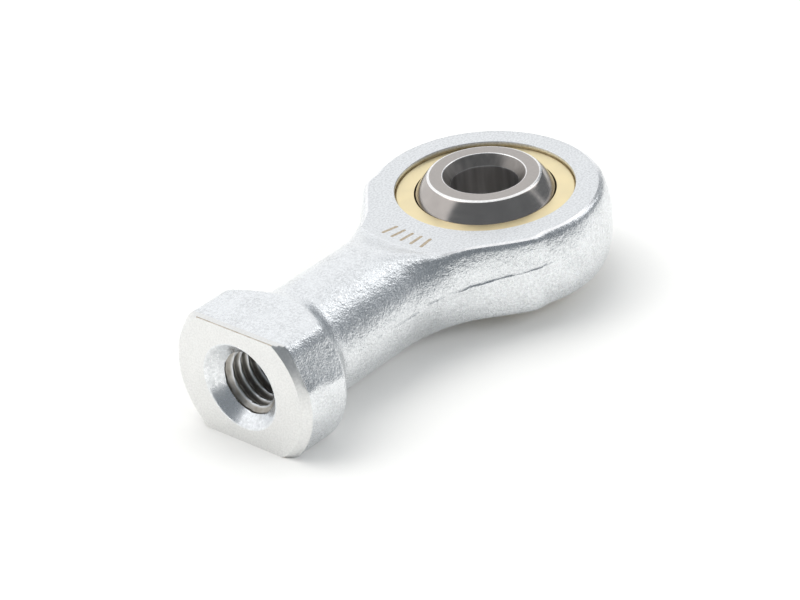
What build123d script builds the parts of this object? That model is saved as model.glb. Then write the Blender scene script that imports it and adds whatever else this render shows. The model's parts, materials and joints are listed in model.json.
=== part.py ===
"""Rod end bearing, female thread, size 5: forged housing, brass race, PTFE liner and steel ball.

The origin is the centre of the ball. +Z is the axis of the ball's bore, and the shank runs
along -X to its threaded mouth. All lengths are in millimetres.
"""

import os
from math import radians, sqrt, tan

from build123d import *

os.makedirs("parts", exist_ok=True)

# What the bearing mates with
pin_bore_diameter = 5.0
ball_width = 8.0
centre_to_end = 27.0
thread_major_diameter = 5.0
thread_pitch = 0.8
wrench_size = 9.0

# Head of the housing, turned flat on both sides of a forging
head_thickness = 6.0
head_diameter = 18.2  # at the parting line
head_face_diameter = 17.24  # where the forged side meets the broken edge
edge_break = 0.2
facing_radius = 10.2  # the facing tool stops here, on the neck
facing_slope = 21.0  # degrees, up from the turned face to the shank

# Shank, neck and collar
shank_diameter = 8.5
neck_radius = 12.0  # fillet between the shank and the head, seen from above
neck_inset = 0.25  # the fillet runs in this far under the head's round side
collar_diameter = 12.3
collar_length = 4.1
collar_end_diameter = 11.44  # flat ring left inside the front chamfer
collar_end_chamfer = 0.45
collar_cone_length = 1.7
thread_hole_depth = 12.0
countersink_diameter = 6.5
drill_point_angle = 118.0

# Bearing set
sphere_diameter = 11.5
seat_diameter = 13.2
race_width = 5.3
race_edge = 0.12
liner_thickness = 0.18
liner_width = 4.4
liner_clearance = 0.02  # on each side of the liner
lip_clearance = 0.08  # from the ball to the race's two lips
bore_chamfer_width = 0.55
bore_chamfer_depth = 0.8
ball_edge = 0.1

# Derived sizes
head_radius = head_diameter / 2
shank_radius = shank_diameter / 2
collar_radius = collar_diameter / 2
thread_minor_radius = thread_major_diameter / 2 - 5 / 8 * sqrt(3) / 2 * thread_pitch
sphere_radius = sphere_diameter / 2
liner_inner_radius = sphere_radius + liner_clearance
liner_outer_radius = liner_inner_radius + liner_thickness
pocket_radius = liner_outer_radius + liner_clearance
lip_radius = sphere_radius + lip_clearance


def sphere_point(radius, height):
    """Point of a sphere's outline (distance from the Z axis, height)."""
    return (sqrt(radius**2 - height**2), height)


# ---------------------------------------------------------------- housing

end_x = -centre_to_end
collar_back_x = end_x + collar_length
cone_end_x = collar_back_x + collar_cone_length

# The neck's fillet arc touches the shank's side and a circle just inside the head's outline.
inner_radius = head_radius - neck_inset
neck_centre_x = -sqrt((inner_radius + neck_radius) ** 2 - (shank_radius + neck_radius) ** 2)
neck_share = inner_radius / (inner_radius + neck_radius)
neck_end = (neck_centre_x * neck_share, (shank_radius + neck_radius) * neck_share)

half = head_thickness / 2
face_radius = head_face_diameter / 2

with BuildPart() as housing:
    # Head: a disc whose forged side bulges to the parting line
    with BuildSketch(Plane.XZ):
        with BuildLine():
            Polyline(
                (face_radius, -half + edge_break),
                (face_radius - edge_break, -half),
                (0, -half),
                (0, half),
                (face_radius - edge_break, half),
                (face_radius, half - edge_break),
            )
            ThreePointArc(
                (face_radius, half - edge_break),
                (head_radius, 0),
                (face_radius, -half + edge_break),
            )
        make_face()
    revolve(axis=Axis.Z)

    # Collar, shank and neck: one turned outline about the thread's axis
    with BuildSketch(Plane.XY):
        with BuildLine():
            FilletPolyline(
                (end_x + collar_end_chamfer, collar_radius),
                (collar_back_x, collar_radius),
                (cone_end_x, shank_radius),
                (neck_centre_x, shank_radius),
                radius=(0.5, 1.6),
            )
            TangentArc((neck_centre_x, shank_radius), neck_end, tangent=(1, 0))
            Polyline(
                neck_end,
                (neck_end[0], 0),
                (end_x, 0),
                (end_x, collar_end_diameter / 2),
                (end_x + collar_end_chamfer, collar_radius),
            )
        make_face()
    revolve(axis=Axis.X)

    # Facing cuts: flat over the head, then sloping up on to the shank
    facing_reach = 5.0
    rise = facing_reach * tan(radians(facing_slope))
    with BuildSketch(Plane.XZ):
        with BuildLine():
            Polyline(
                (0, half),
                (facing_radius, half),
                (facing_radius + facing_reach, half + rise),
                (facing_radius + facing_reach, 2 * head_radius),
                (0, 2 * head_radius),
                close=True,
            )
        make_face()
        mirror(about=Plane.XZ)  # the sketch plane's own XZ, so the copy lies below the head
    revolve(axis=Axis.Z, mode=Mode.SUBTRACT)

    # Seat for the race, right through the head
    with BuildSketch(Plane.XY):
        Circle(seat_diameter / 2)
    extrude(amount=head_thickness, both=True, mode=Mode.SUBTRACT)

    # Thread hole at its minor diameter, countersunk, with a drilled end
    with BuildSketch(Plane.XY):
        with BuildLine():
            mouth_radius = countersink_diameter / 2
            point_length = thread_minor_radius / tan(radians(drill_point_angle / 2))
            Polyline(
                (end_x, 0),
                (end_x, mouth_radius),
                (end_x + mouth_radius - thread_minor_radius, thread_minor_radius),
                (end_x + thread_hole_depth, thread_minor_radius),
                (end_x + thread_hole_depth + point_length, 0),
                close=True,
            )
        make_face()
    revolve(axis=Axis.X, mode=Mode.SUBTRACT)

    # Two wrench flats across the collar
    flat_length = cone_end_x + 1.0 - end_x
    with BuildSketch(Plane.XY.offset(wrench_size / 2)):
        with Locations((end_x + flat_length / 2, 0)):
            Rectangle(flat_length, 2 * collar_diameter)
    flat_cut = extrude(amount=collar_radius, mode=Mode.SUBTRACT)
    mirror(flat_cut, about=Plane.XY, mode=Mode.SUBTRACT)

housing.part.label = "housing"
export_step(housing.part, "parts/housing.step")

# ---------------------------------------------------------------- race

with BuildPart() as race:
    with BuildSketch(Plane.XZ):
        with BuildLine():
            half = race_width / 2
            shelf = liner_width / 2 + liner_clearance
            seat_radius = seat_diameter / 2
            lip_middle = (half + shelf) / 2
            ThreePointArc(
                sphere_point(pocket_radius, -shelf),
                (pocket_radius, 0),
                sphere_point(pocket_radius, shelf),
            )
            Line(sphere_point(pocket_radius, shelf), sphere_point(lip_radius, shelf))
            ThreePointArc(
                sphere_point(lip_radius, shelf),
                sphere_point(lip_radius, lip_middle),
                sphere_point(lip_radius, half),
            )
            Polyline(
                sphere_point(lip_radius, half),
                (seat_radius - race_edge, half),
                (seat_radius, half - race_edge),
                (seat_radius, -half + race_edge),
                (seat_radius - race_edge, -half),
                sphere_point(lip_radius, -half),
            )
            ThreePointArc(
                sphere_point(lip_radius, -half),
                sphere_point(lip_radius, -lip_middle),
                sphere_point(lip_radius, -shelf),
            )
            Line(sphere_point(lip_radius, -shelf), sphere_point(pocket_radius, -shelf))
        make_face()
    revolve(axis=Axis.Z)

race.part.label = "race"
export_step(race.part, "parts/race.step")

# ---------------------------------------------------------------- liner

with BuildPart() as liner:
    with BuildSketch(Plane.XZ):
        with BuildLine():
            half = liner_width / 2
            ThreePointArc(
                sphere_point(liner_inner_radius, -half),
                (liner_inner_radius, 0),
                sphere_point(liner_inner_radius, half),
            )
            Line(sphere_point(liner_inner_radius, half), sphere_point(liner_outer_radius, half))
            ThreePointArc(
                sphere_point(liner_outer_radius, half),
                (liner_outer_radius, 0),
                sphere_point(liner_outer_radius, -half),
            )
            Line(sphere_point(liner_outer_radius, -half), sphere_point(liner_inner_radius, -half))
        make_face()
    revolve(axis=Axis.Z)

liner.part.label = "liner"
export_step(liner.part, "parts/liner.step")

# ---------------------------------------------------------------- ball

with BuildPart() as ball:
    with BuildSketch(Plane.XZ):
        with BuildLine():
            half = ball_width / 2
            pin_radius = pin_bore_diameter / 2
            rim = sphere_point(sphere_radius, half)
            shoulder = sphere_point(sphere_radius, half - ball_edge)
            ThreePointArc((shoulder[0], -shoulder[1]), (sphere_radius, 0), shoulder)
            Polyline(
                shoulder,
                (rim[0] - ball_edge, half),
                (pin_radius + bore_chamfer_width, half),
                (pin_radius, half - bore_chamfer_depth),
                (pin_radius, -half + bore_chamfer_depth),
                (pin_radius + bore_chamfer_width, -half),
                (rim[0] - ball_edge, -half),
                (shoulder[0], -shoulder[1]),
            )
        make_face()
    revolve(axis=Axis.Z)

ball.part.label = "ball"
export_step(ball.part, "parts/ball.step")
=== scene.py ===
import json
from math import cos, pi, radians, sin, sqrt, tan

import bmesh
import bpy
import numpy as np
from mathutils import Matrix, Vector


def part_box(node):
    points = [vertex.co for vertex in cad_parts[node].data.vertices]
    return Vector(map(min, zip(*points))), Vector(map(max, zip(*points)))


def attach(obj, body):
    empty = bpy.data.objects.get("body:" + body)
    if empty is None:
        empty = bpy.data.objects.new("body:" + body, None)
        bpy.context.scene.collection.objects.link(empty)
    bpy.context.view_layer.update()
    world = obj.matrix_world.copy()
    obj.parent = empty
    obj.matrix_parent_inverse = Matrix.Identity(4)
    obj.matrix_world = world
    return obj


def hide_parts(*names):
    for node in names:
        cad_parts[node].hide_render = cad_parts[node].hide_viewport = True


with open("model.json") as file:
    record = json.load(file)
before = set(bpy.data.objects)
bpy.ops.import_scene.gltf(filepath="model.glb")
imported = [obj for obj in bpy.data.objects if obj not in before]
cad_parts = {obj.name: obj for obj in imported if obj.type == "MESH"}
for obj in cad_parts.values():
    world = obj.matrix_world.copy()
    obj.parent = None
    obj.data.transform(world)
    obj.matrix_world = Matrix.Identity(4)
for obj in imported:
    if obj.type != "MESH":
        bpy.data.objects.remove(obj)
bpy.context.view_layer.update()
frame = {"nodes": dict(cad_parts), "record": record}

bl_info = {
    "name": "Rod End Bearing",
    "version": (1, 0, 0),
    "blender": (4, 5, 0),
    "location": "3D View > Sidebar > Rod End",
    "description": "Builds the skins and finishes of a female rod end bearing around its CAD frame",
    "category": "Add Mesh",
}

# The surfaces are worked out in millimetres and stored in metres.
MM = 0.001


# ---------------------------------------------------------------- settings


def length(name, description, default):
    """A float property in metres."""
    return bpy.props.FloatProperty(
        name=name, description=description, default=default, unit="LENGTH", precision=6
    )


def bearing(name, description, default):
    """A float property that holds an angle, its default given in degrees."""
    return bpy.props.FloatProperty(
        name=name, description=description, default=radians(default), subtype="ANGLE"
    )


def tint(name, description, default):
    """A linear colour property without alpha."""
    return bpy.props.FloatVectorProperty(
        name=name, description=description, default=default, subtype="COLOR", size=3, min=0, max=1
    )


# The frame's own boxes and interfaces, from which the main sizes come.
HOUSING_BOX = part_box("housing")
RACE_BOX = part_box("race")
BALL_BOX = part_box("ball")
MOUNTS = {mount["name"]: mount["dims"] for mount in frame["record"]["mounts"]}
THREAD = MOUNTS["shank_thread"]
BORE = MOUNTS["ball_bore"]


class HousingSettings(bpy.types.PropertyGroup):
    """Sizes and colours of the forged housing."""

    end_x: length("Threaded end", "Place of the threaded end along X", HOUSING_BOX[0][0])
    head_radius: length("Head radius", "Radius of the head at its parting line", HOUSING_BOX[1][0])
    flat_height: length("Flat height", "Height of the flats over the thread's axis", HOUSING_BOX[1][2])
    seat_radius: length("Seat radius", "Radius of the hole that the race sits in", RACE_BOX[1][0])
    shank_radius: length("Shank radius", "Radius of the round shank", 4.25 * MM)
    collar_radius: length("Collar radius", "Radius of the collar", 6.15 * MM)
    neck_radius: length("Neck fillet", "Radius of the fillet between shank and head", 12.0 * MM)
    facing_radius: length("Facing radius", "Where the turned face ends on the neck", 10.2 * MM)
    minor_radius: length("Minor radius", "Radius over the thread's crests", THREAD["r_mm"] * MM)
    pitch: length("Thread pitch", "Distance between two crests", 0.8 * MM)
    grain: length("Forging relief", "Height of the forging's lumps", 0.014 * MM)
    plating: tint("Zinc plating", "Colour of the bright zinc plating", (0.785, 0.80, 0.815))
    end_plating: tint("End face", "Colour of the plating on the end face", (0.785, 0.785, 0.775))
    # The rim colour is lighter than the plating: a painted highlight on the real broken edge.
    rim: tint("Face rim", "Colour of the broken edge round the head's face", (0.96, 0.96, 0.965))


class BearingSettings(bpy.types.PropertyGroup):
    """Sizes and colours of the race, the liner and the ball."""

    sphere_radius: length("Sphere radius", "Radius of the ball", BALL_BOX[1][0])
    ball_height: length("Half width", "Half the width of the ball", BALL_BOX[1][2])
    bore_radius: length("Bore radius", "Radius of the pin bore", BORE["r_mm"] * MM)
    bore_length: length("Bore length", "Length of the bore's cylinder", BORE["length_mm"] * MM)
    race_radius: length("Race radius", "Outer radius of the race", RACE_BOX[1][0])
    race_height: length("Race half width", "Half the width of the race", RACE_BOX[1][2])
    brass: tint("Brass", "Colour of the turned brass", (0.90, 0.775, 0.49))
    steel: tint("Bearing steel", "Colour of the polished ball", (0.47, 0.435, 0.41))
    ground: tint("Ground steel", "Colour of the ball's ground ends", (0.44, 0.41, 0.39))
    bored: tint("Bored steel", "Colour of the ball's bore", (0.66, 0.645, 0.64))
    # The ball edges' colour is lighter than the steel: a painted highlight on the real rounded edges.
    edge: tint("Ball edges", "Colour of the burnished edges of the ball", (0.94, 0.93, 0.92))
    weave: tint("Liner", "Colour of the liner's fabric", (0.10, 0.075, 0.05))


class StageSettings(bpy.types.PropertyGroup):
    """Camera and floor."""

    azimuth: bearing("Azimuth", "Bearing of the camera, 0 looks along +Y", -47.317)
    elevation: bearing("Elevation", "Height of the camera over the floor, as an angle", 30.751)
    roll: bearing("Roll", "Turn of the camera about its view", -5.123)
    distance: length("Distance", "From the camera to the point it looks at", 249.0 * MM)
    lens: bpy.props.FloatProperty(
        name="Lens", description="Focal length in millimetres", default=158.8, unit="CAMERA"
    )
    floor: tint("Floor", "Colour of the floor", (0.94, 0.93, 0.905))


# ---------------------------------------------------------------- arithmetic on whole arrays


def soft_min(a, b, reach):
    """Smaller of a and b, rounded over a band of reach where they cross."""
    h = np.clip(1 - np.abs(a - b) / reach, 0, 1)
    return np.minimum(a, b) - h * h * reach / 4


def soft_max(a, b, reach):
    """Larger of a and b, rounded over a band of reach where they cross."""
    return -soft_min(-a, -b, reach)


def smooth_step(x):
    """0 below 0, 1 above 1 and 3x^2 - 2x^3 between."""
    x = np.clip(x, 0, 1)
    return x * x * (3 - 2 * x)


def ramp_up(x, softness):
    """x where it is positive and 0 where it is negative, with a hyperbola between."""
    return (x + np.sqrt(x * x + softness * softness)) / 2


def root(function, low, high, steps=44):
    """Halves the interval between low (inside, negative) and high (outside) until they meet."""
    low, high = np.array(low, float), np.array(high, float)
    for _ in range(steps):
        middle = (low + high) / 2
        inside = function(middle) < 0
        low, high = np.where(inside, middle, low), np.where(inside, high, middle)
    return (low + high) / 2


# Multipliers of the integer hash, and its 32 bits.
AXIS_PRIMES, SEED_PRIME, MIXER = np.array([73856093, 19349663, 83492791]), 2654435761, 0x45D9F3B
ALL_BITS, HALF_RANGE = 0xFFFFFFFF, 0x7FFFFFFF


def corner_values(cells, seed):
    """One repeatable number from -1 to 1 for each whole-number cell, by integer hashing."""
    n = cells.astype(np.int64) * AXIS_PRIMES + seed * SEED_PRIME
    n = np.bitwise_xor.reduce(n, axis=-1) & ALL_BITS
    for _ in range(2):
        n = (n ^ (n >> 16)) * MIXER & ALL_BITS
    return (n ^ (n >> 16)) / HALF_RANGE - 1


def lumps(points, size, seed):
    """Value noise: random corner values of a grid of cubes, blended by smooth steps inside each cube."""
    q = points / size
    cell = np.floor(q)
    t = smooth_step(q - cell)
    total = 0
    for corner in np.ndindex(2, 2, 2):
        share = np.prod(np.where(np.array(corner) == 1, t, 1 - t), axis=-1)
        total = total + share * corner_values(cell + corner, seed)
    return total


# ---------------------------------------------------------------- meshes from grids


SEAM = 2e-4  # points closer than this are one, in millimetres


def grid_faces(rows, columns, first):
    """Quads of a grid of points numbered row by row."""
    corner = (np.arange(rows - 1)[:, None] * columns + np.arange(columns - 1)).ravel() + first
    return np.stack([corner, corner + columns, corner + columns + 1, corner + 1], axis=1)


class Sheets:
    """Grids that together make one closed surface.

    Every point carries a weight, its share of the forging's relief, and every face a finish number.
    """

    def __init__(self):
        self.points, self.weights, self.faces, self.finish, self.count = [], [], [], [], 0

    def add(self, grid, finish, weight=0.0):
        """A grid of shape (rows, columns, 3) in millimetres.

        The finish is one number or one for each face, and the weight one or one for each point.
        """
        rows, columns = grid.shape[:2]
        self.faces.append(grid_faces(rows, columns, self.count))
        self.finish.append((np.zeros((rows - 1, columns - 1)) + finish).ravel())
        self.points.append(grid.reshape(-1, 3))
        self.weights.append((np.zeros((rows, columns)) + weight).ravel())
        self.count += rows * columns

    def add_pair(self, grid, finish, weight=0.0):
        """The grid and its copy in the mirror y = 0."""
        for side in (1, -1):
            self.add(grid * np.array([1, side, 1]), finish, weight)

    def add_halving(self, outer, inner, finish):
        """A band from a closed ring to one with half as many points: a quad and a triangle for each."""
        n = len(inner) - 1
        k = np.arange(n)
        o, i = self.count, self.count + len(outer)
        quads = np.stack([o + 2 * k, o + 2 * k + 1, i + k + 1, i + k], axis=1)
        triangles = np.stack([o + 2 * k + 1, o + 2 * k + 2, i + k + 1, i + k + 1], axis=1)
        self.faces += [quads, triangles]
        self.finish.append(np.full(2 * n, finish))
        self.points += [outer, inner]
        self.weights += [np.zeros(len(outer)), np.zeros(len(inner))]
        self.count += len(outer) + len(inner)

    def mesh(self, name, materials):
        """One mesh in metres: doubles merged, faces that lost corners dropped, normals outward."""
        faces = np.concatenate(self.faces)
        rounds = [list(dict.fromkeys(face)) for face in faces.tolist()]
        mesh = bpy.data.meshes.new(name)
        mesh.from_pydata((np.concatenate(self.points) * MM).tolist(), [], rounds)
        for material in materials:
            mesh.materials.append(material)
        mesh.polygons.foreach_set("material_index", np.concatenate(self.finish).astype(np.int32))
        relief = mesh.attributes.new("relief", "FLOAT", "POINT")
        relief.data.foreach_set("value", np.concatenate(self.weights).astype(np.float32))
        work = bmesh.new()
        work.from_mesh(mesh)
        bmesh.ops.remove_doubles(work, verts=work.verts, dist=SEAM * MM)
        bmesh.ops.recalc_face_normals(work, faces=work.faces)
        work.to_mesh(mesh)
        work.free()
        return mesh


def show(mesh, crease=28):
    """An object for the mesh, smooth but for edges sharper than the crease angle."""
    mesh.shade_smooth()
    mesh.set_sharp_from_angle(angle=radians(crease))
    piece = bpy.data.objects.new(mesh.name, mesh)
    bpy.context.scene.collection.objects.link(piece)
    return piece


def rounded(profile, reach, steps=6):
    """A (distance, height) outline with each corner as an arc that starts and ends at its reach.

    The arc is the quadratic curve from one tangent point, pulled by the corner, to the other.
    """
    profile = np.array(profile, float)
    parts = [profile[:1]]
    for before, point, after, size in zip(profile, profile[1:], profile[2:], reach):
        start = point + (before - point) / np.linalg.norm(before - point) * size
        stop = point + (after - point) / np.linalg.norm(after - point) * size
        t = np.linspace(0, 1, steps + 1)[:, None]
        parts.append((1 - t) ** 2 * start + 2 * t * (1 - t) * point + t**2 * stop)
    return np.concatenate(parts + [profile[-1:]])


def divided(profile, step):
    """The outline with its long runs cut into equal lengths of at most step."""
    parts = [profile[:1]]
    for start, stop in zip(profile, profile[1:]):
        count = max(1, int(np.ceil(np.linalg.norm(stop - start) / step)))
        share = np.arange(1, count + 1)[:, None] / count
        parts.append(start + (stop - start) * share)
    return np.concatenate(parts)


def revolved(profile, segments):
    """Grid of a (distance, height) outline turned about Z: x = r cos a, y = r sin a, z = height."""
    angle = np.linspace(0, 2 * pi, segments + 1)
    r, z = profile[:, :1], profile[:, 1:]
    return np.stack([r * np.cos(angle), r * np.sin(angle), z + 0 * angle], axis=-1)


# ---------------------------------------------------------------- node helpers


def new_node(tree, kind, **settings):
    """A node of a tree with some of its settings given by name."""
    node = tree.nodes.new(kind)
    for key, value in settings.items():
        setattr(node, key, value)
    return node


def join(tree, value, socket):
    """A link when value is a socket, and a plain value when it is not."""
    if isinstance(value, bpy.types.NodeSocket):
        tree.links.new(value, socket)
    else:
        socket.default_value = value


class Finish:
    """A metal by default, with a few short ways to add nodes to it and join them."""

    def __init__(self, name, base, metallic=1.0, roughness=0.4):
        self.material = bpy.data.materials.new(name)
        self.material.use_nodes = True
        self.tree = self.material.node_tree
        self.shader = self.tree.nodes["Principled BSDF"]
        self.shader.inputs["Base Color"].default_value = (*base, 1)
        self.shader.inputs["Metallic"].default_value = metallic
        self.shader.inputs["Roughness"].default_value = roughness
        self.place = self.node("ShaderNodeTexCoord").outputs["Object"]

    def node(self, kind, **settings):
        """A node with some of its settings given by name."""
        return new_node(self.tree, kind, **settings)

    def join(self, value, socket):
        """A link when value is a socket, and a plain value when it is not."""
        join(self.tree, value, socket)

    def math(self, operation, a, b=0.0):
        """One arithmetic step on two values."""
        node = self.node("ShaderNodeMath", operation=operation)
        self.join(a, node.inputs[0])
        self.join(b, node.inputs[1])
        return node.outputs[0]

    def rings(self, across, spacing, wobble=0.0):
        """Wave of the distance from an axis: sin(2 pi (r + wobble) / spacing), in millimetres."""
        distance = self.radius(*across)
        if wobble:
            distance = self.math("ADD", distance, self.math("MULTIPLY", self.noise(1.2, 2), wobble))
        return self.math("SINE", self.math("MULTIPLY", distance, 2 * pi / spacing))

    def stretch(self, scale):
        """Object coordinates, scaled along each axis."""
        node = self.node("ShaderNodeMapping")
        self.join(self.place, node.inputs["Vector"])
        node.inputs["Scale"].default_value = scale
        return node.outputs[0]

    def noise(self, size, detail=2.0, vector=None, rough=0.5):
        """Smooth noise whose features are about size millimetres wide."""
        node = self.node("ShaderNodeTexNoise")
        self.join(vector or self.place, node.inputs["Vector"])
        node.inputs["Scale"].default_value = 1 / (size * MM)
        node.inputs["Detail"].default_value = detail
        node.inputs["Roughness"].default_value = rough
        return node.outputs["Fac"]

    def cells(self, size):
        """Distance to the nearest of scattered points about size millimetres apart."""
        node = self.node("ShaderNodeTexVoronoi")
        self.join(self.place, node.inputs["Vector"])
        node.inputs["Scale"].default_value = 1 / (size * MM)
        return node.outputs["Distance"]

    def span(self, value, low, high, to_low=0.0, to_high=1.0):
        """Value from low to high becomes to_low to to_high, clamped."""
        node = self.node("ShaderNodeMapRange")
        for socket, number in zip(node.inputs, (value, low, high, to_low, to_high)):
            self.join(number, socket)
        return node.outputs[0]

    def mix(self, share, a, b):
        """Colour a turning to colour b by a share."""
        node = self.node("ShaderNodeMix", data_type="RGBA")
        self.join(share, node.inputs[0])
        for value, socket in ((a, node.inputs[6]), (b, node.inputs[7])):
            self.join(value if isinstance(value, bpy.types.NodeSocket) else (*value, 1), socket)
        return node.outputs[2]

    def split(self):
        """The three object coordinates, each by itself."""
        node = self.node("ShaderNodeSeparateXYZ")
        self.join(self.place, node.inputs[0])
        return node.outputs

    def radius(self, first, second):
        """Distance from an axis, from the two coordinates across it, in millimetres."""
        axes = self.split()
        a, b = axes[first], axes[second]
        square = self.math("ADD", self.math("MULTIPLY", a, a), self.math("MULTIPLY", b, b))
        return self.math("DIVIDE", self.math("SQRT", square), MM)

    def colour(self, value):
        """Joins the base colour."""
        self.join(value, self.shader.inputs["Base Color"])

    def rough(self, value):
        """Joins the roughness."""
        self.join(value, self.shader.inputs["Roughness"])

    def relief(self, heights):
        """Bump from (height, strength, depth in millimetres) entries, one after another."""
        normal = None
        for height, strength, depth in heights:
            bump = self.node("ShaderNodeBump")
            bump.inputs["Strength"].default_value = strength
            bump.inputs["Distance"].default_value = depth * MM
            self.join(height, bump.inputs["Height"])
            if normal is not None:
                self.join(normal, bump.inputs["Normal"])
            normal = bump.outputs[0]
        self.join(normal, self.shader.inputs["Normal"])


def shade(colour, factor):
    """A colour made darker or lighter."""
    return tuple(min(1.0, channel * factor) for channel in colour)


# ---------------------------------------------------------------- finishes


ABOUT_X, ABOUT_Z = (1, 2), (0, 1)  # the two coordinates that lie across an axis
# The thread's brown darkening towards its roots is painted shade in the grooves.
ROOT_SHADE_START, ROOT_SHADE_FULL = 2.09, 2.24  # radii between which the thread turns brown, in millimetres


def forged_zinc(plating):
    """Bright zinc over a forged skin: fine crystals that sparkle, dull hollows, long faint wrinkles."""
    f = Finish("forged_zinc", plating)
    crystals = f.cells(0.13)
    grain = f.noise(0.08, 2)
    specks = f.noise(0.17, 3, rough=0.6)
    pits = f.span(f.noise(0.34, 3, rough=0.6), 0.36, 0.62)
    wrinkles = f.noise(0.5, 3, f.stretch((0.22, 1, 1)), 0.6)
    clouds = f.noise(1.6, 2)
    dull = f.math("MULTIPLY", f.span(specks, 0.38, 0.6, 1, 0), f.span(clouds, 0.35, 0.65, 0.35, 0.8))
    f.colour(f.mix(dull, shade(plating, 1.10), shade(plating, 0.80)))
    f.rough(f.span(grain, 0.35, 0.65, 0.34, 0.22))
    f.relief([(wrinkles, 0.15, 0.05), (pits, 0.4, 0.03), (crystals, 0.65, 0.02), (grain, 0.6, 0.018)])
    return f.material


def turned_zinc(name, plating, across, spacing=0.11, strength=0.18, rough=0.3, speckle=0.22):
    """Zinc over a lathe-turned face: wandering rings, a fine grain and cloudy gloss."""
    f = Finish(name, plating)
    grain = f.noise(0.15, 3, rough=0.6)
    rings = f.rings(across, spacing, wobble=0.25)
    clouds = f.noise(0.8, 3)
    f.colour(f.mix(f.span(grain, 0.38, 0.6, 1, 0), shade(plating, 1.06), shade(plating, 1.06 - speckle)))
    f.rough(f.span(clouds, 0.3, 0.7, rough + 0.12, rough))
    f.relief([(rings, strength, 0.006), (grain, 0.6, 0.02)])
    return f.material


def cut_thread(plating):
    """Thin plating over a cut thread: crests in the plating's colour, and roots and flanks painted darker
    and browner as shade in the grooves.
    """
    f = Finish("cut_thread", plating)
    deep = f.span(f.radius(*ABOUT_X), ROOT_SHADE_START, ROOT_SHADE_FULL)
    root_mottle = f.noise(0.5, 3)
    root_shade = f.math("MULTIPLY", deep, f.span(root_mottle, 0.3, 0.7, 0.7, 1))
    f.colour(f.mix(root_shade, plating, (0.36, 0.33, 0.285)))
    f.rough(f.span(root_mottle, 0.3, 0.7, 0.28, 0.42))
    f.relief([(f.noise(0.12, 3), 0.35, 0.02)])
    return f.material


def highlight_edge(name, colour):
    """Broken edge of a turned face, coloured lighter than the metal as a painted highlight, with small
    nicks.
    """
    f = Finish(name, colour)
    nicks = f.noise(0.25, 3)
    f.colour(f.mix(f.span(nicks, 0.3, 0.6), shade(colour, 0.9), colour))
    f.rough(f.span(nicks, 0.3, 0.7, 0.3, 0.2))
    f.relief([(nicks, 0.2, 0.015)])
    return f.material


def seat_painted_shade():
    """Bored seat painted brown and dark as the shade in the recess below the face; the same painted shade
    lies on the flats' front edges as contact shadow.
    """
    f = Finish("seat_painted_shade", (0.5, 0.44, 0.36))
    shade_mottle = f.noise(0.4, 3)
    f.colour(f.mix(f.span(shade_mottle, 0.3, 0.7), (0.40, 0.34, 0.26), (0.62, 0.57, 0.50)))
    f.rough(f.span(shade_mottle, 0.3, 0.7, 0.3, 0.45))
    f.relief([(f.noise(0.1, 3), 0.2, 0.01)])
    return f.material


def turned_mouth(plating):
    """Glossy countersink: chatter rings about X, and small pits that break the reflections up."""
    f = Finish("turned_mouth", plating)
    rings = f.rings(ABOUT_X, 0.16)
    pits = f.noise(0.28, 4, rough=0.65)
    f.colour(f.mix(f.span(pits, 0.38, 0.6), shade(plating, 0.94), shade(plating, 1.14)))
    f.rough(f.span(pits, 0.35, 0.65, 0.36, 0.24))
    f.relief([(rings, 0.08, 0.01), (pits, 0.25, 0.03)])
    return f.material


def turned_brass(brass):
    """Brass turned about Z, with fine rings and faint tarnish."""
    f = Finish("turned_brass", brass)
    clouds = f.noise(2.4, 2)
    rings = f.rings(ABOUT_Z, 0.07)
    f.colour(f.mix(f.span(clouds, 0.3, 0.7), shade(brass, 0.93), shade(brass, 1.05)))
    f.rough(f.span(clouds, 0.3, 0.7, 0.34, 0.44))
    f.relief([(rings, 0.2, 0.005), (f.noise(0.09, 3), 0.25, 0.008)])
    return f.material


def polished_steel(steel):
    """Ground and polished ball: nearly a mirror, with faint lines about Z."""
    f = Finish("polished_steel", steel)
    lines = f.noise(0.2, 3, f.stretch((0.05, 0.05, 1)))
    clouds = f.noise(1.5, 2)
    f.colour(f.mix(f.span(clouds, 0.3, 0.7), shade(steel, 0.92), shade(steel, 1.06)))
    f.rough(f.span(lines, 0.35, 0.65, 0.13, 0.21))
    f.relief([(lines, 0.12, 0.006)])
    return f.material


def ground_steel(steel):
    """Ground end rings of the ball, satin, with a fine grain."""
    f = Finish("ground_steel", steel)
    rings = f.rings(ABOUT_Z, 0.06)
    grain = f.noise(0.12, 3)
    f.colour(f.mix(f.span(grain, 0.35, 0.65), shade(steel, 0.93), shade(steel, 1.05)))
    f.rough(f.span(grain, 0.3, 0.7, 0.30, 0.40))
    f.relief([(rings, 0.15, 0.004), (grain, 0.25, 0.006)])
    return f.material


def bored_steel(name, steel):
    """Bored wall or chamfer of the ball: dull, with streaks along the bore."""
    f = Finish(name, steel)
    streaks = f.noise(0.5, 2, f.stretch((1, 1, 0.1)))
    f.colour(f.mix(f.span(streaks, 0.35, 0.65), shade(steel, 0.85), shade(steel, 1.1)))
    f.rough(f.span(streaks, 0.3, 0.7, 0.34, 0.5))
    f.relief([(streaks, 0.1, 0.01)])
    return f.material


def woven_liner(weave):
    """Bonded fabric: threads over and under, from a wave around Z times one along it."""
    f = Finish("woven_liner", weave, metallic=0.0, roughness=0.75)
    x, y, z = f.split()
    around = f.math("SINE", f.math("MULTIPLY", f.math("ARCTAN2", y, x), 120.0))
    along = f.math("SINE", f.math("MULTIPLY", z, 2 * pi / (0.3 * MM)))
    cloth = f.math("MULTIPLY", around, along)
    f.colour(f.mix(f.span(cloth, -1, 1), shade(weave, 0.6), shade(weave, 1.5)))
    f.relief([(cloth, 0.5, 0.03)])
    return f.material


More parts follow.
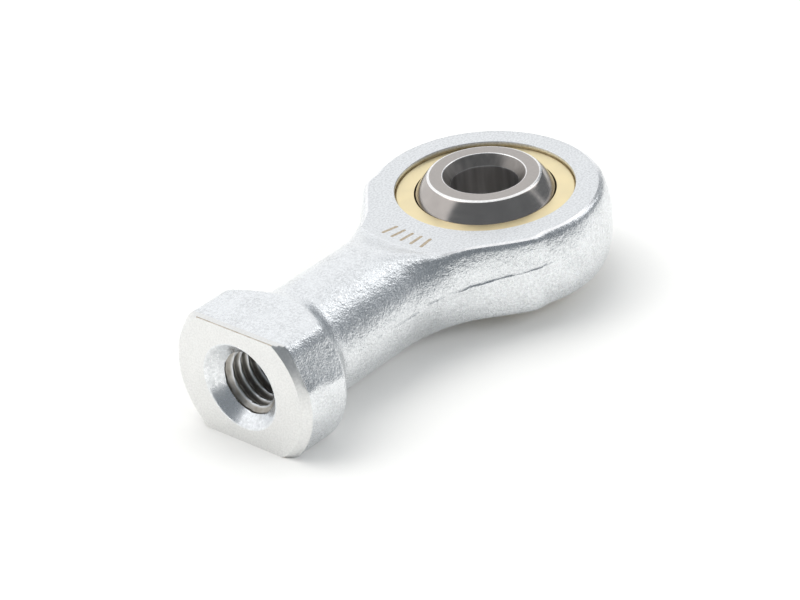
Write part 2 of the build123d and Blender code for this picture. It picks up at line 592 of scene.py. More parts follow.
def etched_mark():
    """Tan-brown of a mark burnt into the plating."""
    f = Finish("etched_mark", (0.42, 0.34, 0.24), metallic=0.4, roughness=0.6)
    spots = f.noise(0.12, 3)
    f.colour(f.mix(f.span(spots, 0.35, 0.65), (0.33, 0.26, 0.18), (0.56, 0.48, 0.37)))
    f.relief([(spots, 0.3, 0.01)])
    return f.material


# ---------------------------------------------------------------- housing

# Finish numbers, in the order of the housing's materials. The seat's finish is brown painted shade,
# and it is also painted on the front edges of the wrench flats as contact shadow.
FORGED, HEAD_FACE, END_FACE, THREAD_CUT, SEAT_SHADE, MOUTH, RIM_HIGHLIGHT = range(7)

# How finely the surface is divided.
ROWS = 48  # rows of a quarter from its top to the parting line
STEP = 0.165  # distance between two stations along the housing

# Collar and shank. Lengths are measured from the threaded end.
CHAMFER_WIDTH, CHAMFER_LENGTH = 0.5, 0.52  # turned chamfer at the end
COLLAR_LENGTH, CONE_LENGTH = 4.1, 5.8  # where the collar and its cone stop
COLLAR_ROUNDINGS = (0.05, 0.32, 0.85)
SHANK_END = -15.0  # place along X where round sections give way to the neck
END_EDGE = 0.008  # broken edge of the end face
FLAT_EDGE, FORGED_EDGE = 0.06, 0.42  # rounding beside the flats, at the end and past the chamfer
FACET_TOP = radians(38)  # upper end of the collar's forged facet, over the middle plane

# Neck and head.
FACE_HEIGHT = 3.0  # turned faces over the middle plane
EDGE_DROP = 0.09  # height of the broken edge round a turned face
EDGE_WIDTH, CUT_WIDTH = 0.17, 0.02  # width of that edge, and of the bare cut where it has no height
SEAT_LIP = 0.04  # broken edge of the seat
BULGE = 0.0219  # the head's side draws in by this times the height cubed
SLOPE = tan(radians(21))  # forged slope beside the turned face
SLOPE_BLEND, HEAD_BLEND = 0.6, 0.9  # how softly the slope and the head meet the neck
NECK_GROWTH = 0.8  # how fast the neck widens with X past its fillet
NECK_END = -4.6  # place along X where the neck starts to close inside the head
FOOT_START = -11.6  # where the parting points of the facing arc begin, along X
HUB_SHIFT = 2.6  # how far inside the face's edge the rays start, away from the neck

# Countersink and thread. Lengths are measured from the threaded end.
MOUTH_RADIUS = 3.25
THREAD_DEPTH = 0.433  # from the crests to the roots
THREAD_LENGTH, THREAD_FADE = 8.0, 0.9  # full turns, and the length over which they run out
HOLE_LENGTH, DRILL_POINT = 12.0, radians(59)  # half of the drill's point angle
MOUTH_RING, END_RING = 3.6, 4.0  # rings that join the end face's sheets

# Places along X, and at them: the parting line's height over the middle plane, the power of the
# neck's superelliptic sections, and the depth of the notch on the parting line.
PARTING = (
    (-27.0, -23.9, -22.5, -21.2, -19.3, -17.2, -15.0, -10.0, -7.6, -6.4, -4.7, -3.6, -1.0, 3.0, 9.0),
    (1.45, 1.02, 0.75, 0.59, 0.44, 0.39, 0.28, 0.32, 0.32, 0.55, 0.8, 0.92, 1.05, 0.95, 0.7),
)
NECK_POWER = ((-11.0, -9.0, -7.8, -6.0), (2.0, 2.3, 2.4, 2.75))
NOTCH_DEPTH = ((-20.0, -9.0, -7.5, -4.8, -3.0, 0.0), (0.06, 0.08, 0.13, 0.13, 0.06, 0.02))
NOTCH_WIDTH = 0.075  # half the width of the notch
RIDGE_HEIGHT, RIDGE_WIDTH = 0.07, 0.5  # ridge of the parting line, on each side


class HousingShape:
    """Radii and surfaces of the housing, in millimetres."""

    def __init__(self, s):
        self.end_x, self.flat = s.end_x / MM, s.flat_height / MM
        self.head, self.seat = s.head_radius / MM, s.seat_radius / MM
        self.shank, self.collar, self.neck = s.shank_radius / MM, s.collar_radius / MM, s.neck_radius / MM
        self.facing, self.minor, self.pitch = s.facing_radius / MM, s.minor_radius / MM, s.pitch / MM
        # The fillet touches the shank and a circle a little inside the head's parting line.
        inner = self.head - 0.25
        self.neck_y = self.shank + self.neck
        self.neck_x = -sqrt((inner + self.neck) ** 2 - self.neck_y**2)
        self.neck_stop = self.neck_x * inner / (inner + self.neck)

    def collar_outline(self):
        """(x, radius) of the turned chamfer, the collar, its cone and the shank."""
        corners = [
            (self.end_x, self.collar - CHAMFER_WIDTH),
            (self.end_x + CHAMFER_LENGTH, self.collar),
            (self.end_x + COLLAR_LENGTH, self.collar),
            (self.end_x + CONE_LENGTH, self.shank),
            (SHANK_END, self.shank),
        ]
        return divided(rounded(corners, COLLAR_ROUNDINGS), STEP)

    def fillet(self, x):
        """Half width of the neck at x: the shank's radius, swelling along the fillet's circle."""
        return self.neck_y - np.sqrt(self.neck**2 - (x - self.neck_x) ** 2)

    def side(self, x, y, z):
        """Below 0 inside the neck or the head, which blend into each other.

        The neck has superelliptic sections (|y|^p + |z|^p)^(1/p) as wide as its fillet, and it ends
        inside the head. The head is a disc whose radius falls with the cube of the height.
        """
        swell = self.fillet(np.clip(x, self.neck_x, self.neck_stop))
        swell = swell + ramp_up(x - self.neck_stop, 0.01) * NECK_GROWTH
        power = np.interp(x, *NECK_POWER)
        spread = (np.abs(y) ** power + np.abs(z) ** power) ** (1 / power)
        neck = spread - swell + 0.6 * np.maximum(0, x - NECK_END) ** 2
        disc = np.hypot(x, y) - (self.head - BULGE * np.abs(z) ** 3)
        return soft_min(neck, disc, HEAD_BLEND)

    def skin(self, x, y, z):
        """The side, cut by a forged slope that falls from the shank towards the head's face."""
        beyond = ramp_up(np.hypot(x, y) - self.facing - 0.2, 0.25)
        slope = FACE_HEIGHT + 0.1 + SLOPE * beyond
        return soft_max(self.side(x, y, z), np.abs(z) - slope, SLOPE_BLEND)

    def face_outline(self, angle):
        """Distance and height of the turned face's edge at angles from the -X direction.

        The edge is where the skin meets the foot of the broken edge, or the facing circle where the
        skin is still higher than that.
        """
        ux, uy = -np.cos(angle), -np.sin(angle)
        low = FACE_HEIGHT - EDGE_DROP
        r = root(lambda r: self.skin(r * ux, r * uy, low), 7.5 + 0 * angle, self.facing + 0 * angle)
        z = root(lambda z: self.skin(r * ux, r * uy, z), low + 0 * angle, low + 0.6 + 0 * angle)
        return r, np.where(self.facing - r > 1e-6, low, z)

    def facing_corner(self):
        """Angle where the facing circle runs off the neck, found on the circle itself."""

        def outside(angle):
            x, y = -self.facing * np.cos(angle), -self.facing * np.sin(angle)
            return -self.skin(x, y, FACE_HEIGHT - EDGE_DROP)

        return float(root(outside, 0.6, 0.1))

    def thread_radius(self, x, turn):
        """Radius of an internal 60 degree thread at x and an angle, with rounded crests and roots.

        The flank rises at 60 degrees with the distance from the nearest crest, one crest to a pitch.
        """
        phase = (x - self.end_x) / self.pitch - turn / (2 * pi)
        off = np.abs(phase - np.round(phase)) * self.pitch
        flank = self.minor + (off - self.pitch / 16) / tan(radians(30))
        crest = soft_max(flank, self.minor + 0 * flank, 0.04)
        cut = soft_min(crest, self.minor + THREAD_DEPTH + 0 * flank, 0.08)
        fade = smooth_step((x - self.end_x - THREAD_LENGTH) / THREAD_FADE)
        return cut + (self.minor - cut) * fade


def quarter_rows():
    """Shares from a quarter's top (0) to the parting line (1), closer together near both."""
    u = np.linspace(0, 1, ROWS + 1)
    return u - 0.5 * np.sin(2 * pi * u) / (2 * pi)


def round_stations(shape, rows, level):
    """Rings of the collar and shank, from the flat on the level's side (1 or -1) to the parting line.

    The radius w of the outline is cut by the wrench flat, flat / cos phi, and, above the parting
    line, by a facet that the forging die leaves between the parting line and the corner. Returns
    the grid, each point's share of the relief, and the angles of the first ring.
    """
    outline = shape.collar_outline()
    x, w = outline[:, :1], outline[:, 1:]
    from_end = x - shape.end_x
    tilt = np.arcsin(np.interp(x, *PARTING) / w)
    phi = rows[None] * (pi / 2 - level * tilt)
    flats = shape.flat / np.maximum(np.cos(phi), 0.05)
    corner = FLAT_EDGE + FORGED_EDGE * smooth_step((from_end - 0.2) / 1.2)
    r = soft_min(w + 0 * phi, flats + 0 * w, corner)
    if level > 0:
        half = (FACET_TOP - tilt) / 2
        facet = shape.collar * np.cos(half) / np.maximum(np.cos(phi - (pi / 2 - tilt - half)), 0.05)
        share = smooth_step((w - shape.shank - 0.4) / 0.6)
        r = r + (soft_min(r, facet, FLAT_EDGE) - r) * share * (rows < 1)
    left = np.clip(END_EDGE - from_end, 0, END_EDGE)
    r = r - (END_EDGE - np.sqrt(np.maximum(0, END_EDGE**2 - left**2)))
    grid = np.stack([x + 0 * phi, -r * np.sin(phi), level * r * np.cos(phi)], axis=-1)
    forged = smooth_step((from_end - 0.55) / 0.5)
    beside_flat = smooth_step((flats - w) / 0.3)
    return grid, forged * (0.45 + 0.55 * beside_flat), phi[0]


def facing_edge(shape):
    """Edge of the turned face: angles from -X, points, and how many of them are on the facing arc.

    Past the arc the points are equal lengths apart along the edge.
    """
    corner = shape.facing_corner()
    arc = np.linspace(0, corner, 24)
    fine = np.linspace(corner, pi, 4000)
    r, _ = shape.face_outline(fine)
    run = np.concatenate([[0], np.cumsum(np.hypot(np.diff(r), r[1:] * np.diff(fine)))])
    edge = np.interp(np.linspace(0, run[-1], int(run[-1] / STEP)), run, fine)
    angle = np.concatenate([arc, edge[1:]])
    r, height = shape.face_outline(angle)
    return angle, np.stack([-r * np.cos(angle), -r * np.sin(angle), height], axis=1), len(arc)


def parting_feet(shape, top, on_arc):
    """Points of the parting line, seen from above, that belong to the points of the face's edge.

    On the facing arc they step along the fillet, beside the neck they lie radially from the
    fillet's centre, and past it radially from the head's axis.
    """
    centre = np.array([shape.neck_x, -shape.neck_y])
    off = top[:, :2] - centre
    beside = centre + off * (shape.neck / np.linalg.norm(off, axis=1))[:, None]
    radial = top[:, :2] * (shape.head / np.hypot(top[:, 0], top[:, 1]))[:, None]
    foot = np.where(beside[:, :1] < shape.neck_stop, beside, radial)
    foot[:on_arc, 0] = np.linspace(FOOT_START, foot[on_arc - 1, 0], on_arc)
    foot[:on_arc, 1] = -shape.fillet(foot[:on_arc, 0])
    return foot


def neck_and_head_stations(shape, rows, level):
    """Columns from the top edge T to the parting line P, found along rays from a centre C.

    T runs along the neck's crest, the facing arc and the face's edge. P runs along the fillet and
    the head. A ray's direction is the quarter ellipse (T - C) cos t + (P - C) sin t. Returns the
    grid, each point's share of the relief, and the edge of the turned face.
    """
    angle, face_edge, on_arc = facing_edge(shape)
    foot = parting_feet(shape, face_edge, on_arc)
    reach = np.hypot(face_edge[:, 0], face_edge[:, 1])
    hub = face_edge[:, :2] * (1 - HUB_SHIFT * smooth_step(angle / 0.9) / reach)[:, None]

    count = int((-shape.facing - SHANK_END) / STEP)
    crest = np.linspace(SHANK_END, -shape.facing, count + 1)[:-1]
    crest_foot = np.linspace(SHANK_END, FOOT_START, count + 1)[:-1]
    half_width = shape.fillet(np.maximum(crest_foot, shape.neck_x))
    height = root(
        lambda z: shape.skin(crest, 0 * crest, z), 2.5 + 0 * crest, shape.shank + 0.5 + 0 * crest
    )
    top = np.concatenate([np.stack([crest, 0 * crest, height], axis=1), face_edge])
    foot = np.concatenate([np.stack([crest_foot, -half_width], axis=1), foot])
    hub = np.concatenate([np.stack([crest, 0 * crest], axis=1), hub])

    top[:, 2] *= level
    parting = np.interp(foot[:, 0], *PARTING)
    t = rows[None, :, None] * pi / 2
    c = np.pad(hub, ((0, 0), (0, 1)))[:, None]
    a, b = top[:, None] - c, np.column_stack([foot, parting])[:, None] - c
    ray = a * np.cos(t) + b * np.sin(t)
    near, far = 0.3 + 0 * ray[..., 0], 1.9 + 0 * ray[..., 0]
    scale = root(lambda k: shape.skin(*np.moveaxis(c + ray * k[..., None], -1, 0)), near, far)
    grid = c + ray * scale[..., None]
    grid[:, 0] = top
    weight = smooth_step(rows / 0.05)[None] * np.ones((len(top), 1))
    weight[: len(crest)] = 1
    return grid, weight, face_edge


def face_stations(shape, edge):
    """The turned face in three sheets: its broken edge, the flat, and the seat to the middle plane.

    Each is an outline of distances from Z and heights, carried round the head by the edge's points.
    """
    r = np.hypot(edge[:, 0], edge[:, 1])
    way = edge[:, :2] / r[:, None]
    drop = FACE_HEIGHT - edge[:, 2]
    inset = CUT_WIDTH + EDGE_WIDTH * smooth_step(drop / EDGE_DROP)
    t = np.array([0, 0.08, 0.5, 0.92, 1.0])[:, None]
    rim = np.stack([r - inset * t, edge[:, 2] + drop * t], axis=-1)

    t = np.linspace(0, 1, 6)[:, None]
    flat_r = (r - inset) * (1 - t) + (shape.seat + SEAT_LIP) * t
    flat = np.stack([flat_r, FACE_HEIGHT + 0 * flat_r], axis=-1)
    wall = np.array([[0.01, 0.03], [0, 0.05], [0, 0.24], [0, 1], [0, 2], [0, 3]])
    wall_r = shape.seat + wall[:, :1] + 0 * r
    wall = np.stack([wall_r, FACE_HEIGHT - wall[:, 1:] + 0 * r], axis=-1)
    bright = 3  # the wall's first points, which are as bright as the face
    # The wall below these points takes the seat's brown painted shade.
    sheets = rim, np.concatenate([flat, wall[:bright]]), wall[bright - 1 :]
    return [np.concatenate([sheet[..., :1] * way, sheet[..., 1:]], axis=-1) for sheet in sheets]


def bore_rows(shape, columns):
    """Countersink, thread and drilled end: for every x the larger of the cone and the thread's radius.

    Returns the grid, and the finish number of each of its cells.
    """
    end, minor = shape.end_x, shape.minor
    x = np.concatenate([np.arange(0.06, 9.0, 0.05), np.linspace(9.1, HOLE_LENGTH, 8)])[:, None] + end
    cone = MOUTH_RADIUS - (x - end)
    thread = shape.thread_radius(x, columns + pi / 2)
    r = soft_max(cone + 0 * columns, thread, 0.04)
    cut = np.where(thread > cone + 0.01, THREAD_CUT, MOUTH)
    lip = np.array([[MOUTH_RADIUS + 0.09, 0.0], [MOUTH_RADIUS + 0.02, 0.012]])
    share = np.array([0.5, 1.0])
    tip = np.stack([minor * (1 - share), HOLE_LENGTH + minor * share / tan(DRILL_POINT)], axis=1)
    x = np.concatenate([lip[:, 1:] + end, x, tip[:, 1:] + end])
    r = np.concatenate([lip[:, :1] + 0 * columns, r, tip[:, :1] + 0 * columns])
    cut = np.concatenate([cut[:2], cut, cut[-2:]])[:-1, :-1]
    return np.stack([x + 0 * columns, -r * np.sin(columns), r * np.cos(columns)], axis=-1), cut


def raise_forging(mesh, depth):
    """Makes the parting line wander, then moves forged points along their normals.

    The move is three sizes of lumps, long wrinkles, a low ridge that falls off to both sides of the
    parting line, and a narrow uneven notch on it.
    """
    n = len(mesh.vertices)
    place, normal, weight = (np.zeros(n * size, np.float32) for size in (3, 3, 1))
    mesh.vertices.foreach_get("co", place)
    mesh.vertices.foreach_get("normal", normal)
    mesh.attributes["relief"].data.foreach_get("value", weight)
    p, normal = place.reshape(-1, 3).astype(float) / MM, normal.reshape(-1, 3)
    level = p[:, 2] - np.interp(p[:, 0], *PARTING)
    along = p * [1, 1, 0]
    lumpy = lumps(p, 1.6, 1) + 0.6 * lumps(p, 0.75, 2) + 0.4 * lumps(p, 0.38, 3)
    lumpy = lumpy + 0.4 * lumps(p * [0.25, 1, 1], 0.5, 4)
    ridge = RIDGE_HEIGHT * np.exp(-np.abs(level) / RIDGE_WIDTH)
    deep = np.interp(p[:, 0], *NOTCH_DEPTH) * (0.7 + 0.3 * lumps(along, 0.9, 5))
    notch = deep * np.exp(-((level / NOTCH_WIDTH) ** 2))
    move = lumpy * depth / MM + ridge - notch
    wobble = 0.10 * lumps(along, 1.3, 6) + 0.05 * lumps(along, 0.5, 7)
    p[:, 2] += wobble * np.exp(-((level / 0.7) ** 2)) * weight
    p += normal * (move * weight)[:, None]
    mesh.vertices.foreach_set("co", (p * MM).astype(np.float32).ravel())
    mesh.update()


def end_circle(shape, radius, phi):
    """Points of a circle on the threaded end, at angles from +Z towards -Y."""
    return np.stack([shape.end_x + 0 * phi, -radius * np.sin(phi), radius * np.cos(phi)], axis=1)


def end_face_outer(shape, edge):
    """The end face from its outer edge to the joining ring, with a narrow first strip."""
    inner = edge * (END_RING / np.linalg.norm(edge[:, 1:], axis=1, keepdims=True))
    outer = edge + (inner - edge) * 0.04
    inner[:, 0] = shape.end_x
    outer[:, 0] = shape.end_x
    share = np.linspace(0, 1, 4)[:, None, None]
    return np.concatenate([edge[None], outer + (inner - outer) * share])


def build_housing(s):
    """The whole housing as one closed surface of mirrored quarters and a full bore."""
    shape = HousingShape(s)
    rows = quarter_rows()
    sheets = Sheets()
    columns = []
    for level in (1, -1):
        rings, ring_weight, phi = round_stations(shape, rows, level)
        chamfer = int(np.searchsorted(rings[:, 0, 0], shape.end_x + CHAMFER_LENGTH + 0.01))
        on_flat = int(np.sum(shape.flat < (shape.collar - CHAMFER_WIDTH) * np.cos(phi)))
        # The flats' first strip takes the seat's brown painted shade, standing in for contact shadow.
        sheets.add_pair(rings[:2, : on_flat + 1], SEAT_SHADE)
        sheets.add_pair(rings[:2, on_flat:], END_FACE)
        sheets.add_pair(rings[1 : chamfer + 1], END_FACE, ring_weight[1 : chamfer + 1])
        sheets.add_pair(rings[chamfer:], FORGED, ring_weight[chamfer:])
        skin, skin_weight, face_edge = neck_and_head_stations(shape, rows, level)
        sheets.add_pair(np.concatenate([rings[-1:], skin[1:]]), FORGED, skin_weight)
        for sheet, finish in zip(face_stations(shape, face_edge), (RIM_HIGHLIGHT, HEAD_FACE, SEAT_SHADE)):
            sheets.add_pair(sheet * [1, 1, level], finish)
        sheets.add_pair(end_face_outer(shape, rings[0]), END_FACE)
        columns.append(phi)

    upper, lower = columns
    columns = np.concatenate([upper, (pi - lower)[-2::-1]])
    columns = np.concatenate([columns, (2 * pi - columns)[-2::-1]])
    half = columns[::2]
    mouth = end_circle(shape, MOUTH_RING, half)
    sheets.add_halving(end_circle(shape, END_RING, columns), mouth, END_FACE)
    bore, cut = bore_rows(shape, half)
    sheets.add(np.stack([mouth, bore[0]]), END_FACE)
    sheets.add(bore, cut)

    plating, end_plating = tuple(s.plating), tuple(s.end_plating)
    mesh = sheets.mesh("rod_end_housing", [
        forged_zinc(plating),
        turned_zinc("turned_head_face", plating, ABOUT_Z),
        turned_zinc("turned_end_face", end_plating, ABOUT_X, 0.14, 0.14, 0.33, 0.1),
        cut_thread(plating),
        # brown painted shade for the seat wall and the flats' front edges
        seat_painted_shade(),
        turned_mouth(plating),
        # The face's broken edge takes the painted highlight colour.
        highlight_edge("face_edge", tuple(s.rim)),
    ])
    raise_forging(mesh, s.grain)
    return show(mesh)


# ---------------------------------------------------------------- bearing


SEGMENTS = 192  # of a full turn about Z

# Finish numbers, in the order of the ball's materials.
SPHERE, END_FLAT, BORE_WALL, EDGE_HIGHLIGHT, CHAMFER = range(5)


def turned_piece(name, outline, materials, finish=0):
    """A closed (distance, height) outline turned about Z, with one finish or one for each run."""
    sheets = Sheets()
    runs = np.zeros((len(outline) - 1, 1)) + np.reshape(finish, (-1, 1))
    sheets.add(revolved(outline, SEGMENTS), runs)
    return show(sheets.mesh(name, materials))


def arc_points(radius, low, high, count):
    """Points of a circle about the origin from height low to height high, equal angles apart."""
    angle = np.linspace(np.arcsin(low / radius), np.arcsin(high / radius), count)
    return np.stack([radius * np.cos(angle), radius * np.sin(angle)], axis=1)


def build_race(s):
    """Brass ring: round seat outside, a spherical pocket for the liner, and lips close to the ball."""
    out, half, ball = s.race_radius / MM, s.race_height / MM, s.sphere_radius / MM
    pocket, lip, shelf, chamfer = ball + 0.22, ball + 0.08, 2.22, 0.12
    mouth = arc_points(lip, shelf, half, 10)
    corners = [mouth[-2], mouth[-1], (out - chamfer, half), (out, half - chamfer), (out, 0)]
    upper = np.concatenate([mouth[:-2], rounded(corners, (0.03, 0.04, 0.04), 4)])
    lower = (upper * [1, -1])[::-1]
    ring = np.concatenate([arc_points(pocket, -shelf, shelf, 28), upper, lower[1:]])
    ring = np.concatenate([ring, ring[:1]])
    return turned_piece("race_ring", ring, [turned_brass(tuple(s.brass))])


def build_ball(s):
    """Ball: polished sphere, ground end rings, edges with a painted highlight, chamfers painted darker as
    shade, and a dull bore.
    """
    ball, half, bore = s.sphere_radius / MM, s.ball_height / MM, s.bore_radius / MM
    edge, chamfer = 0.1, 0.55
    rim = sqrt(ball**2 - half**2)
    sphere = arc_points(ball, 0, half - edge, 34)
    corners = [
        sphere[-2], sphere[-1], (rim - edge, half), (bore + chamfer, half),
        (bore, s.bore_length / MM / 2), (bore, 0),
    ]
    upper = rounded(corners, (0.05, 0.10, 0.05, 0.08), 5)
    upper = np.concatenate([sphere[:-2], divided(upper, 0.4)])
    outline = np.concatenate([(upper * [1, -1])[::-1], upper[1:]])
    outline = np.concatenate([outline, outline[:1]])

    # Each run's finish, by the distance and height of its middle. The first rule that holds counts.
    reach, height = np.abs((outline[:-1] + outline[1:]) / 2).T
    high = height > half - 0.17
    rules = (
        (CHAMFER, (reach > bore + 0.03) & (reach < bore + 0.5)),
        # The edges round the bore chamfer and round the ring take the painted highlight.
        (EDGE_HIGHLIGHT, high & (np.abs(reach - bore - chamfer) < 0.05)),
        (EDGE_HIGHLIGHT, high & (np.abs(reach - rim + 0.03) < 0.10)),
        (BORE_WALL, reach < bore + 0.03),
        (END_FLAT, height > half - 0.05),
    )
    finish = np.select([rule for _, rule in rules], [number for number, _ in rules], SPHERE)
    steel = tuple(s.steel)
    materials = [
        polished_steel(steel),
        ground_steel(tuple(s.ground)),
        bored_steel("bore_steel", tuple(s.bored)),
        # painted highlight on the ball's edges
        highlight_edge("ball_edge_highlight", tuple(s.edge)),
        # The chamfer's steel is painted darker than the ball's, as shade in the bore's mouth.
        bored_steel("chamfer_shaded_steel", shade(steel, 0.75)),
    ]
    return turned_piece("ball_ring", outline, materials, finish)


# Plain index marks on the turned face: both ends of each stroke's middle line, in X and Y.
MARK_STROKES = (
    ((-8.15, 1.55), (-9.25, 1.85)),
    ((-8.25, 0.75), (-9.35, 0.95)),
    ((-8.30, -0.05), (-9.40, 0.05)),
    ((-8.30, -0.85), (-9.40, -0.85)),
    ((-8.25, -1.65), (-9.35, -1.75)),
)
MARK_WIDTH, MARK_HEIGHT, MARK_DEPTH = 0.26, 0.012, 0.004  # the height over the face, the depth under it


def build_marks():
    """Low closed strokes with round ends, each a fan of rings about its middle.

    A ring is the rim drawn in to a share u, at the height 1 - u^4 of the stroke's own height. The
    last two rings are the wall's foot, a little below the face, and the closed underside.
    """
    sheets = Sheets()
    turn = np.linspace(0, 2 * pi, 25)[:, None]
    share = np.array([0.0, 0.45, 0.8, 0.94, 1.0, 1.0, 0.0])
    height = FACE_HEIGHT + MARK_HEIGHT * (1 - share**4)
    height[-2:] = FACE_HEIGHT - MARK_DEPTH
    for start, stop in np.array(MARK_STROKES):
        centre = (start + stop) / 2
        way = (stop - start) / np.linalg.norm(stop - start)
        side = np.array([-way[1], way[0]])
        ends = np.where(np.cos(turn) > 0, stop, start)
        rim = ends + (np.cos(turn) * way + np.sin(turn) * side) * MARK_WIDTH / 2
        flat = centre + (rim - centre) * share[:, None, None]
        sheets.add(np.concatenate([flat, height[:, None, None] + 0 * flat[..., :1]], axis=-1), 0)
    return show(sheets.mesh("index_marks", [etched_mark()]))


# ---------------------------------------------------------------- stage


LIT_POINT = (-0.012, 0, 0)  # what the lamps shine at
LOOK_AT = (-0.012112, -0.001806, 0)  # what the camera looks at

# Lamps: name, place, width, height, power, colour and whether reflections show them.
LAMPS = (
    ("key", (-0.16, 0.34, 0.78), 0.9, 0.9, 3.4, (1.0, 0.99, 0.97), False),
    ("spark", (-0.26, 0.42, 0.74), 0.42, 0.42, 0.65, (1, 1, 1), True),
    ("fill", (0.10, -0.70, 0.45), 0.7, 0.5, 3.6, (0.97, 0.985, 1.0), False),
    ("edge", (0.54, -0.16, 0.41), 0.28, 0.28, 0.36, (1, 1, 1), True),
)

# Surroundings: strength outside the dark patches, and the tints outside and inside them.
SKY_LIGHT, SKY_LIGHT_TINT, SKY_DARK_TINT = 1.06, (0.98, 0.99, 1.0, 1), (0.80, 0.90, 1.0, 1)

# Dark patches: direction, the cosines where each starts and is complete, and the strength inside.
SKY_PATCHES = (
    ((-0.54, -0.83, 0.10), (0.07, 0.23), 0.26),
    ((0.95, -0.15, 0.27), (0.85, 0.93), 0.28),
)

FLOOR_REACH, FLOOR_POINTS = 1.2, 9  # half width in metres, and points along each side


def add_lamp(name, place, width, height, power, colour, reflected):
    """A rectangular area lamp that shines at the part."""
    lamp = bpy.data.lights.new(name, "AREA")
    lamp.shape, lamp.size, lamp.size_y = "RECTANGLE", width, height
    lamp.energy, lamp.color = power, colour
    holder = bpy.data.objects.new(name, lamp)
    bpy.context.scene.collection.objects.link(holder)
    way = Vector(LIT_POINT) - Vector(place)
    turn = way.to_track_quat("-Z", "Y").to_matrix().to_4x4()
    holder.matrix_world = Matrix.Translation(place) @ turn
    holder.visible_glossy = reflected


def sky(world):
    """Studio surroundings: white all round but for the dark patches, the darkest of which counts."""
    world.use_nodes = True
    tree = world.node_tree
    tree.nodes.clear()
    place = new_node(tree, "ShaderNodeTexCoord").outputs["Generated"]
    strength = SKY_LIGHT
    for way, cosines, dark in SKY_PATCHES:
        near = new_node(tree, "ShaderNodeVectorMath", operation="DOT_PRODUCT")
        join(tree, place, near.inputs[0])
        join(tree, way, near.inputs[1])
        ramp = new_node(tree, "ShaderNodeMapRange", interpolation_type="SMOOTHSTEP")
        numbers = (near.outputs["Value"], *cosines, SKY_LIGHT, dark)
        for socket, number in zip(ramp.inputs, numbers):
            join(tree, number, socket)
        least = new_node(tree, "ShaderNodeMath", operation="MINIMUM")
        join(tree, ramp.outputs[0], least.inputs[0])
        join(tree, strength, least.inputs[1])
        strength = least.outputs[0]
    hue = new_node(tree, "ShaderNodeMix", data_type="RGBA")
    for index, value in ((0, strength), (6, SKY_DARK_TINT), (7, SKY_LIGHT_TINT)):
        join(tree, value, hue.inputs[index])
    light = new_node(tree, "ShaderNodeBackground")
    join(tree, hue.outputs[2], light.inputs["Color"])
    join(tree, strength, light.inputs["Strength"])
    join(tree, light.outputs[0], new_node(tree, "ShaderNodeOutputWorld").inputs[0])


def build_floor(s):
    """A wide flat sheet at the height of the housing's lower flat, faintly mottled."""
    side = np.linspace(-FLOOR_REACH, FLOOR_REACH, FLOOR_POINTS)
    x, y = np.meshgrid(side, side)
    grid = np.stack([x, y, 0 * x + HOUSING_BOX[0][2]], axis=-1)
    faces = grid_faces(FLOOR_POINTS, FLOOR_POINTS, 0)[:, ::-1]
    mesh = bpy.data.meshes.new("floor")
    mesh.from_pydata(grid.reshape(-1, 3).tolist(), [], faces.tolist())
    f = Finish("floor_paper", tuple(s.floor), metallic=0.0, roughness=0.6)
    mottle = f.span(f.noise(1.5, 3), 0.3, 0.7)
    f.colour(f.mix(mottle, shade(s.floor, 0.995), tuple(s.floor)))
    mesh.materials.append(f.material)
    floor = bpy.data.objects.new("floor", mesh)
    bpy.context.scene.collection.objects.link(floor)


def place_camera(s):
    """Camera from azimuth, elevation, roll and distance to the point it looks at."""
    az, el = s.azimuth, s.elevation
    back = Vector((sin(az) * cos(el), -cos(az) * cos(el), sin(el)))
    level = Vector((cos(az), sin(az), 0))
    up = back.cross(level)
    right = cos(s.roll) * level + sin(s.roll) * up
    true_up = -sin(s.roll) * level + cos(s.roll) * up
    data = bpy.data.cameras.new("camera")
    data.lens, data.sensor_width = s.lens, 36
    data.clip_start, data.clip_end = 0.01, 10
    camera = bpy.data.objects.new("camera", data)
    bpy.context.scene.collection.objects.link(camera)
    turn = Matrix((right, true_up, back)).transposed().to_4x4()
    camera.matrix_world = Matrix.Translation(Vector(LOOK_AT) + back * s.distance) @ turn
    bpy.context.scene.camera = camera


# ---------------------------------------------------------------- operators


class ROD_END_OT_housing(bpy.types.Operator):
    """Builds the forged, plated housing with its cut thread"""

    bl_idname = "rod_end.housing"
    bl_label = "Housing"

    def execute(self, context):
        piece = build_housing(context.scene.rod_end_housing)
        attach(piece, "housing_body")
        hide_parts("housing")
        return {"FINISHED"}


class ROD_END_OT_marks(bpy.types.Operator):
    """Adds plain index marks to the turned face"""

    bl_idname = "rod_end.marks"
    bl_label = "Index marks"

    def execute(self, context):
        piece = build_marks()
        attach(piece, "housing_body")
        return {"FINISHED"}


class ROD_END_OT_race(bpy.types.Operator):
    """Builds the brass race"""

    bl_idname = "rod_end.race"
    bl_label = "Race"

    def execute(self, context):
        piece = build_race(context.scene.rod_end_bearing)
        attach(piece, "housing_body")
        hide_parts("race")
        return {"FINISHED"}


class ROD_END_OT_liner(bpy.types.Operator):
    """Gives the liner its woven finish"""

    bl_idname = "rod_end.liner"
    bl_label = "Liner"

    def execute(self, context):
        node = frame["nodes"]["liner"]
        node.data.materials.clear()
        node.data.materials.append(woven_liner(tuple(context.scene.rod_end_bearing.weave)))
        return {"FINISHED"}


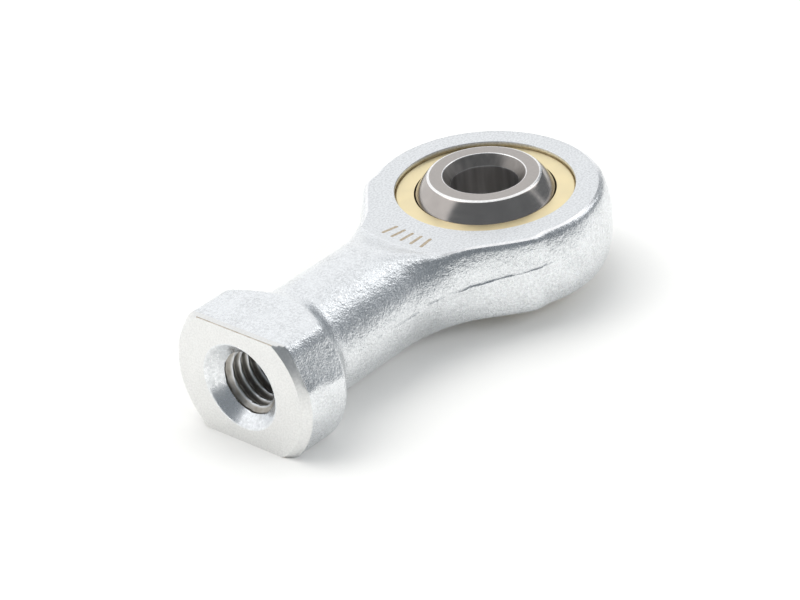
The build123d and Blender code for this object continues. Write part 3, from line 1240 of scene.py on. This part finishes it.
class ROD_END_OT_ball(bpy.types.Operator):
    """Builds the polished ball"""

    bl_idname = "rod_end.ball"
    bl_label = "Ball"

    def execute(self, context):
        piece = build_ball(context.scene.rod_end_bearing)
        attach(piece, "ball_body")
        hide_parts("ball")
        return {"FINISHED"}


class ROD_END_OT_stage(bpy.types.Operator):
    """Adds the floor, the studio light and the camera"""

    bl_idname = "rod_end.stage"
    bl_label = "Stage"

    def execute(self, context):
        scene = context.scene
        scene.world = bpy.data.worlds.new("studio")
        sky(scene.world)
        build_floor(scene.rod_end_stage)
        for lamp in LAMPS:
            add_lamp(*lamp)
        place_camera(scene.rod_end_stage)
        scene.view_settings.view_transform = "Standard"
        scene.view_settings.look = "None"
        return {"FINISHED"}


class ROD_END_PT_panel(bpy.types.Panel):
    """Lists the operators, the stage's first, and their settings"""

    bl_label = "Rod end bearing"
    bl_idname = "ROD_END_PT_panel"
    bl_space_type = "VIEW_3D"
    bl_region_type = "UI"
    bl_category = "Rod End"

    def draw(self, context):
        for operator in OPERATORS:
            self.layout.operator(operator.bl_idname)
        for name in SETTINGS:
            box = self.layout.box()
            group = getattr(context.scene, name)
            for key in group.__annotations__:
                box.prop(group, key)


OPERATORS = (
    ROD_END_OT_stage,
    ROD_END_OT_housing,
    ROD_END_OT_marks,
    ROD_END_OT_race,
    ROD_END_OT_liner,
    ROD_END_OT_ball,
)
SETTINGS = {
    "rod_end_housing": HousingSettings,
    "rod_end_bearing": BearingSettings,
    "rod_end_stage": StageSettings,
}


def register():
    for group in SETTINGS.values():
        bpy.utils.register_class(group)
    for name, group in SETTINGS.items():
        setattr(bpy.types.Scene, name, bpy.props.PointerProperty(type=group))
    for item in (*OPERATORS, ROD_END_PT_panel):
        bpy.utils.register_class(item)


def unregister():
    for item in (ROD_END_PT_panel, *OPERATORS[::-1]):
        bpy.utils.unregister_class(item)
    for name, group in SETTINGS.items():
        delattr(bpy.types.Scene, name)
        bpy.utils.unregister_class(group)


def main():
    register()
    for operator in OPERATORS:
        area, name = operator.bl_idname.split(".")
        getattr(getattr(bpy.ops, area), name)()


if __name__ == "__main__":
    main()
